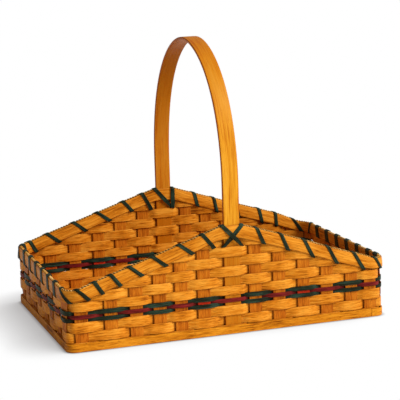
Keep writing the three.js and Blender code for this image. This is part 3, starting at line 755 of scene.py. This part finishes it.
rim_walk = wall(0.078)
rim_height = 0.018
rim_edge_thickness = 0.0015
rim_crown = 0.0004
rim_pinch = 0.0007
rim_lean = math.radians(5)
unpinched = 0.016
pinch_ease = 0.030
rim_step = 0.004
# Places along the basket, and by how much the rims are narrower there, as a part of their height
rim_narrowing = np.array([(-0.222, 0.12), (-0.198, 0.0), (0.198, 0.0), (0.222, 0.2)])
front_leg, back_leg = [one for one in stakes if one["leg"]]


def rim_low(x, y):
    """Height of the rims' lower edge. They are narrower round the ends."""
    return rim_top(x, y) - rim_height * (1 - np.interp(x, *rim_narrowing.T))


def pinched(x):
    """How far the rims lean together there: 0 at the hoop, 1 well away from it."""
    part = np.clip((np.abs(x) - unpinched) / pinch_ease, 0, 1)
    return part * part * (3 - 2 * part)


def walk_stops(start, end, step):
    """Distances along the rims, close together in their corners."""
    stops = list(np.linspace(start, end, int((end - start) / step) + 2))
    for turn in (-1, 0, 1):
        for side in range(4):
            corner = rim_walk.start[side + 1] - rim_walk.arc + turn * rim_walk.round
            stops += [d for d in np.linspace(corner, corner + rim_walk.arc, 13) if start < d < end]
    return np.array(sorted(stops))


def rim(name, outward, leg):
    """One rim, outside the wall where outward is 1 and inside it where outward is -1."""
    start = rim_walk.place(leg["side"], leg["t"]) + joint_gap / 2
    s = walk_stops(start, start + rim_walk.round - joint_gap, rim_step)
    point, normal, _ = rim_walk.at(s)
    high = rim_top(point[:, 0], point[:, 1])
    low = rim_low(point[:, 0], point[:, 1])
    lean = rim_lean * pinched(point[:, 0])
    reach = band_face + rim_edge_thickness / 2 - rim_pinch * pinched(point[:, 0])
    middle = np.c_[point + outward * normal * reach[:, None], (high + low) / 2]
    facing = np.c_[outward * normal * np.cos(lean)[:, None], np.sin(lean)]
    strip(name, middle, facing, rim_height, rim_edge_thickness, rim_reed, "band_reed",
          wide=(high - low) / rim_height * np.cos(np.arctan(np.gradient(high, s))), crown=rim_crown,
          ripple=0.0003, ripple_length=0.02, square=0.35, points=16)


# Thick flat-oval reed, whose streaks are the longest and darkest of all
rim_reed = reed("stained_rim_reed", "#ea9a2e", "#c87414", "#682a02", 0.46, coarse=1.3, length=1.5)
rim("rim_outer", 1, back_leg)
rim("rim_inner", -1, front_leg)


# Rim filler: two-ply cord of twisted sea grass, laid in the groove between the rims so that
# its top stands a little proud of them. It stops at the legs of the hoop.

cord_turn = 0.0085
cord_step = 0.0009
# Each strand's radius and its distance from the cord's middle, as parts of the cord's radius
strand_size = 0.52
strand_shift = 0.48


def cord_tree():
    """Geometry nodes that twist two round strands about each other along a path."""
    tree, given = new_tree("two-ply cord", (
        ("Radius", "Float"), ("Turn Length", "Float"), ("Number", "Float")))

    run = add(tree, "GeometryNodeSplineParameter").outputs["Length"]
    line = add(tree, "GeometryNodeMeshToCurve", {"Mesh": given["Path"]})
    line = add(tree, "GeometryNodeStoreNamedAttribute", {
        "Geometry": line, "Name": "along", "Value": run}, data_type="FLOAT")
    line = add(tree, "GeometryNodeSetCurveNormal", {"Curve": line}, mode="Z_UP")
    turns = add(tree, "ShaderNodeMath", {0: run, 1: given["Turn Length"]}, operation="DIVIDE")
    angle = add(tree, "ShaderNodeMath", {0: turns, 1: 2 * math.pi}, operation="MULTIPLY")
    line = add(tree, "GeometryNodeSetCurveTilt", {"Curve": line, "Tilt": angle})

    # Two circles side by side, with painted shade where the strands meet in a groove. Each of a circle's
    # corners reads the grain 1.5 mm further across
    strand_radius = add(tree, "ShaderNodeMath", {
        0: given["Radius"], 1: strand_size}, operation="MULTIPLY")
    circle = add(tree, "GeometryNodeCurvePrimitiveCircle", {"Resolution": 8, "Radius": strand_radius})
    index = add(tree, "GeometryNodeInputIndex")
    grain_round = add(tree, "ShaderNodeMath", {0: index, 1: 0.0015}, operation="MULTIPLY")
    spot = add(tree, "GeometryNodeInputPosition")
    sideways = add(tree, "ShaderNodeSeparateXYZ", {0: spot})
    joined = add(tree, "GeometryNodeJoinGeometry")
    for side in (1, -1):
        groove_shade = sideways
        for operation, value in (("MULTIPLY", -side), ("DIVIDE", strand_radius), ("MULTIPLY", 0.09),
                                 ("ADD", 0.94)):
            groove_shade = add(tree, "ShaderNodeMath", {0: groove_shade, 1: value}, operation=operation)
        strand = circle
        for name, value in (("round", grain_round), ("edge", groove_shade)):
            strand = add(tree, "GeometryNodeStoreNamedAttribute", {
                "Geometry": strand, "Name": name, "Value": value}, data_type="FLOAT")
        shift = add(tree, "ShaderNodeMath", {
            0: given["Radius"], 1: strand_shift * side}, operation="MULTIPLY")
        shift = add(tree, "ShaderNodeCombineXYZ", {0: shift})
        plug(joined, {0: add(tree, "GeometryNodeSetPosition", {"Geometry": strand, "Offset": shift})})
    body = add(tree, "GeometryNodeCurveToMesh", {
        "Curve": line, "Profile Curve": joined, "Fill Caps": True})
    along, around = [add(tree, "GeometryNodeInputNamedAttribute", {"Name": name}, data_type="FLOAT")
                     for name in ("along", "round")]
    grain = add(tree, "ShaderNodeCombineXYZ", {0: along, 1: around, 2: given["Number"]})
    body = add(tree, "GeometryNodeStoreNamedAttribute", {
        "Geometry": body, "Name": "grain", "Value": grain}, data_type="FLOAT_VECTOR")
    body = add(tree, "GeometryNodeSetShadeSmooth", {"Geometry": body, "Shade Smooth": True})
    body = add(tree, "GeometryNodeRealizeInstances", {"Geometry": body})
    body = add(tree, "GeometryNodeSetMaterial", {"Geometry": body, "Material": given["Material"]})
    add(tree, "NodeGroupOutput", {"Piece": body})
    return tree


two_ply_cord = cord_tree()
# Sea grass: pale straw, matt, with painted shade, nearly black, in the grooves between the strands
grass_cord = reed("sea_grass_cord", "#f0c880", "#cc9440", "#241004", 0.7, edge_stain_and_shade=1.0)


def filler(name, from_leg, to_leg, around):
    """A cord from one leg to the next. around is added where it passes the start of the walk."""
    gap = clearance + filler_radius * rim_slope
    start = rim_walk.place(from_leg["side"], from_leg["t"] + from_leg["half"]) + gap
    end = rim_walk.place(to_leg["side"], to_leg["t"] - to_leg["half"]) - gap + around
    point, _, _ = rim_walk.at(walk_stops(start, end, cord_step))
    path = np.c_[point, rim_top(point[:, 0], point[:, 1]) - filler_sink]
    piece = make(name, path, two_ply_cord, {
        "Radius": filler_radius, "Turn Length": cord_turn, "Number": float(next(strip_numbers)),
    }, grass_cord)


filler("rim_filler_right", front_leg, back_leg, 0)
filler("rim_filler_left", back_leg, front_leg, rim_walk.round)


# Lashing: one long green strip that laces the rims together. It comes up inside, crosses the
# rims, slants down outside and goes back in through the wall beside each stake, and it crosses
# itself over each leg of the hoop. It is flat reed of the same green as the narrow rows.

lash_width = 0.0056
cross_width = 0.0062
end_wall_width = 0.0112
broadest = 1.6
lash_thickness = 0.0006
lash_crown = 0.0005
lash_gap = 0.0009
lash_beside = lash_width / 2 + lash_gap
lash_room = 0.0001
lash_tuck = 0.0015
lash_skew = 0.004
lash_softness = 0.0011
lash_step = 0.003
deep_reach = 0.001
near_reach = 0.0025
cross_inset = 0.0015
cross_plateau = 0.0036
cross_ramp = 0.0075
hole_reach = leg_reach + weaver_thickness / 2 + clearance + lash_thickness / 2
lash_lift = lash_thickness + clearance
pass_heights = np.array([row["high"] + row["gap"] / 2 for row in rows if row["gap"] == row_gap])

# Each stitch is listed: how far its hole is from the regular place beside a stake, and how far
# it slants, in mm along the walk, for the stitches of each wall and of the corner after it. The
# two that cross over a leg have no slant of their own
by_eye = [iter(wall_of_stitches) for wall_of_stitches in (
    [(-1.1, 15.5), (2.8, 11.3), (1.9, 13.4), (-3.1, 18.0), (-2.0, 19.5), (5.7, 19.7), (-4.2, 16.8),
     (2.4, 0), (-1.0, 0), (-0.6, 9.2), (0.2, 9.9), (0.9, 12.5), (1.6, 13.0), (5.0, 14.3), (-2.5, 9)],
    [(14, 12)] + 6 * [(14, 24)] + [(0, 19)],
    [(14, 26), (0, 19), (3, 30), (3, 28), (1, 23), (8, 32), (1.6, 0), (4.6, 0), (3.5, 12),
     (2.6, 17), (5.6, 14), (9, 18), (8, 13), (0, 8)],
    7 * [(-5, 10)] + [(3, 18)],
)]


def rim_spot(s):
    """The place on the walk, seen from above."""
    return rim_walk.at(np.array([s]))[0][0]


def over_rims(s):
    """Height of the strip's middle where it crosses the rims."""
    return float(rim_top(*rim_spot(s))) + clearance + lash_thickness / 2


def under_rims(s):
    """Height of the strip's middle where it just clears the rims' lower edge."""
    return float(rim_low(*rim_spot(s))) - clearance - lash_thickness / 2


def climb(s):
    """How steeply the rims climb there."""
    return (over_rims(s + 0.001) - over_rims(s)) / 0.001


def lash_reach(s, down):
    """How far out the strip's middle is where it lies on a rim, that far below its top edge."""
    leaning = rim_pinch + (rim_height / 2 - down) * math.sin(rim_lean)
    face = band_face + rim_edge_thickness + rim_crown - leaning * pinched(rim_spot(s)[0])
    return float(face) + lash_thickness / 2 + lash_room


stitches = []


def stitch(side, hole, top=None, lift=0.0, cross=None, width=lash_width, deep=False):
    """Adds one stitch. It is tucked in just under the rims, at the gap between two rows if one
    is near, or goes down to the next gap if it is a deep one."""
    strayed, slant = next(by_eye[side])
    hole += strayed / 1000
    room = min(under_rims(hole + away * lash_width / 2) for away in (-1, 1))
    gap = pass_heights[pass_heights <= room + (deep_reach if deep else near_reach)].max()
    stitches.append({
        "top": hole - slant / 1000 if top is None else top, "skew": lash_skew if top is None else 0,
        "hole": hole, "pass": gap if deep else min(room, max(gap, room - lash_tuck)), "lift": lift,
        "cross": cross, "width": width})


for k, one in enumerate(stakes):
    side = one["side"]
    following = stakes[(k + 1) % len(stakes)]
    if following["side"] != side:
        stitch(side, rim_walk.start[side + 1] - rim_walk.arc / 2)
        continue
    width = end_wall_width if side % 2 else lash_width
    gap_start = rim_walk.place(side, one["t"] + one["half"]) + lash_beside
    gap_end = rim_walk.place(side, following["t"] - following["half"]) - lash_beside
    if following["leg"]:
        beyond = rim_walk.place(side, following["t"] + following["half"]) + lash_beside
        stitch(side, gap_end - lash_width - 2 * clearance, deep=True)
        stitch(side, gap_end, top=beyond - cross_inset, width=cross_width, deep=True)
        stitch(side, beyond, top=gap_end + cross_inset, lift=lash_lift, cross=(gap_end + beyond) / 2,
               width=cross_width, deep=True)
    elif not one["leg"]:
        stitch(side, gap_start, width=width, deep=side == 3 and stakes[k - 1]["side"] == side)
        if k == 0:
            stitch(side, gap_end)


def knee(top, shoulder, hole, depth):
    """Where a slanted run clears the rim's lower edge."""
    for part in np.linspace(0, 1, 200):
        s = top + (hole - top) * part
        z = shoulder + (depth - shoulder) * part
        if z <= under_rims(s):
            break
    return s, z


lash_line = []


def lash_point(s, reach, z, run, tilt, width):
    """One corner of the strip's middle line. run is how far it goes along for each metre down,
    and tilt how far the rims climb: both make it broader or narrower when measured along them."""
    broader = min(math.hypot(1, run) / (1 + tilt * run), broadest)
    lash_line.append((s, reach, z, width * broader, tilt))


before = dict(stitches[-1], hole=stitches[-1]["hole"] - rim_walk.round)
for now in stitches:
    top, hole, lift, width = (now[key] for key in ("top", "hole", "lift", "width"))
    rise = top - now["skew"]
    inner = knee(rise, over_rims(rise), before["hole"], before["pass"])
    inner_run = (before["hole"] - rise) / (over_rims(rise) - before["pass"])
    outer_run = (hole - top) / (over_rims(top) - now["pass"])
    lash_point(before["hole"], -hole_reach - lift, before["pass"], 0, climb(before["hole"]), width)
    lash_point(inner[0], -lash_reach(inner[0], rim_height) - lift, inner[1], inner_run,
               climb(inner[0]), width)
    lash_point(rise, -lash_reach(rise, 0) - lift, over_rims(rise), inner_run / 2, climb(rise), width)
    middle = (rise + top) / 2
    lash_point(middle, 0, over_rims(middle) + filler_rise, 0, climb(middle), width)
    lash_point(top, lash_reach(top, 0), over_rims(top), outer_run / 2, climb(top), width)
    if now["cross"] is not None:
        over = lash_lift + lash_crown
        for away, raised in ((-cross_ramp, 0), (-cross_plateau, over), (cross_plateau, over)):
            s = now["cross"] + away
            z = over_rims(top) + (now["pass"] - over_rims(top)) * (s - top) / (hole - top)
            lash_point(s, lash_reach(s, rim_height / 2) + raised, z, outer_run, 0, width)
    else:
        outer = knee(top, over_rims(top), hole, now["pass"])
        lash_point(outer[0], lash_reach(outer[0], rim_height), outer[1], outer_run,
                   climb(outer[0]), width)
    lash_point(hole, hole_reach, now["pass"], 0, climb(hole), width)
    before = now
first, last = lash_line[0], lash_line[-1]
lash_line = np.array([(first[0], -joint_gap, *first[2:]), *lash_line, (last[0], joint_gap, *last[2:])])


def rounded(line, radius, steps):
    """The line with each corner rounded, measured in its first three numbers, but never over more
    than 0.45 of the stretch beside it."""
    out = [line[0]]
    for a, b, c in zip(line, line[1:], line[2:]):
        start = b + (a - b) * min(radius / np.linalg.norm((a - b)[:3]), 0.45)
        end = b + (c - b) * min(radius / np.linalg.norm((c - b)[:3]), 0.45)
        for part in np.linspace(0, 1, steps):
            out.append((1 - part) ** 2 * start + 2 * part * (1 - part) * b + part ** 2 * end)
    return np.array(out + [line[-1]])


def filled(line, step):
    """The line with points added until no two are further apart along the walk, so that it
    follows the rims round their corners."""
    out = [line[:1]]
    for a, b in zip(line, line[1:]):
        count = int(abs(b[0] - a[0]) / step) + 1
        out.append(a + (b - a) * np.linspace(0, 1, count + 1)[1:, None])
    return np.vstack(out)


soft_line = filled(rounded(lash_line, lash_softness, 5), lash_step)
point, normal, ahead = rim_walk.at(soft_line[:, 0])
run_reach, run_height = np.gradient(soft_line[:, 1]), np.gradient(soft_line[:, 2])
size = np.hypot(run_reach, run_height)
out_part, up_part = -run_height / size, run_reach / size
strip("lashing", np.c_[point + normal * soft_line[:, 1:2], soft_line[:, 2]],
      np.c_[-normal * out_part[:, None], -up_part], 1.0, lash_thickness, green_reed, "green_reed",
      side=np.c_[-ahead, -soft_line[:, 4]], wide=soft_line[:, 3], crown=lash_crown, points=12)


# Studio: a white seamless floor, one broad sun-like lamp from the right and front, and even fill,
# as for a catalogue picture on white. To the camera alone the floor is as bright as white paper
# under a very broad light from the lamp's side, which the basket partly hides near its foot.

floor_mesh = bpy.data.meshes.new("floor")
floor_mesh.from_pydata([(-6, -6, 0), (6, -6, 0), (6, 6, 0), (-6, 6, 0)], [], [(0, 1, 2, 3)])
floor = bpy.data.objects.new("floor", floor_mesh)
bpy.context.scene.collection.objects.link(floor)
paper = bpy.data.materials.new("white_paper_sweep")
paper.use_nodes = True
tree = paper.node_tree
# Soft shade where the basket hides the lamp's side of the sky within 90 mm, which starts once 8 %
# of it is hidden, and a dark line where the foot all but touches the floor
towards_lamp = Vector((0.60, -0.52, 0.61))
lamp_side = add(tree, "ShaderNodeCombineXYZ", dict(enumerate(towards_lamp.normalized())))
soft_shade = add(tree, "ShaderNodeAmbientOcclusion", {
    "Distance": 0.09, "Normal": lamp_side}, samples=32).outputs["AO"]
soft_shade = add(tree, "ShaderNodeMapRange", {"Value": soft_shade, "From Min": 0.0, "From Max": 0.92})
foot_shade = add(tree, "ShaderNodeAmbientOcclusion", {"Distance": 0.006}, samples=32).outputs["AO"]
reached = add(tree, "ShaderNodeMath", {0: soft_shade, 1: foot_shade}, operation="MULTIPLY")
shade = add(tree, "ShaderNodeMix", {
    "Factor": reached, "A": colour("#46352f"), "B": colour("#ffffff")}, data_type="RGBA")
lit = add(tree, "ShaderNodeEmission", {"Color": shade, "Strength": 1.0})
plain = add(tree, "ShaderNodeBsdfDiffuse", {"Color": colour("#e6e5e4")})
seen = add(tree, "ShaderNodeLightPath").outputs["Is Camera Ray"]
both = add(tree, "ShaderNodeMixShader", {0: seen, 1: plain, 2: lit})
plug(tree.nodes["Material Output"], {"Surface": both})
floor_mesh.materials.append(paper)

world = bpy.data.worlds.new("studio")
bpy.context.scene.world = world
world.use_nodes = True
tree = world.node_tree
fill = tree.nodes["Background"]
plug(fill, {"Color": colour("#fff6ea"), "Strength": 0.30})
white = add(tree, "ShaderNodeBackground", {"Color": colour("#ffffff"), "Strength": 1.0})
seen = add(tree, "ShaderNodeLightPath").outputs["Is Camera Ray"]
choice = add(tree, "ShaderNodeMixShader", {0: seen, 1: fill, 2: white})
plug(tree.nodes["World Output"], {"Surface": choice})

key = bpy.data.lights.new("key", "SUN")
key.energy = 3.8
key.angle = math.radians(34)
key_lamp = bpy.data.objects.new("key", key)
key_lamp.rotation_euler = towards_lamp.to_track_quat("Z", "Y").to_euler()
bpy.context.scene.collection.objects.link(key_lamp)

# Camera: where the photograph was taken from, found from the basket's own edges.
camera_azimuth = math.radians(-18.56)
camera_elevation = math.radians(11.13)
camera_roll = math.radians(-1.67)
camera_distance = 2.2139
camera_target = Vector((0.00998, 0.0, 0.1594))
back = Vector((math.sin(camera_azimuth) * math.cos(camera_elevation),
               -math.cos(camera_azimuth) * math.cos(camera_elevation), math.sin(camera_elevation)))
level_right = Vector((0, 0, 1)).cross(back).normalized()
level_up = back.cross(level_right)
right = math.cos(camera_roll) * level_right + math.sin(camera_roll) * level_up
up = -math.sin(camera_roll) * level_right + math.cos(camera_roll) * level_up
camera_data = bpy.data.cameras.new("camera")
camera_data.sensor_width = 36
camera_data.lens = 138.35
camera = bpy.data.objects.new("camera", camera_data)
camera.matrix_world = (Matrix.Translation(camera_target + back * camera_distance)
                       @ Matrix((right, up, back)).transposed().to_4x4())
bpy.context.scene.collection.objects.link(camera)
bpy.context.scene.camera = camera
bpy.context.scene.view_settings.view_transform = "Standard"
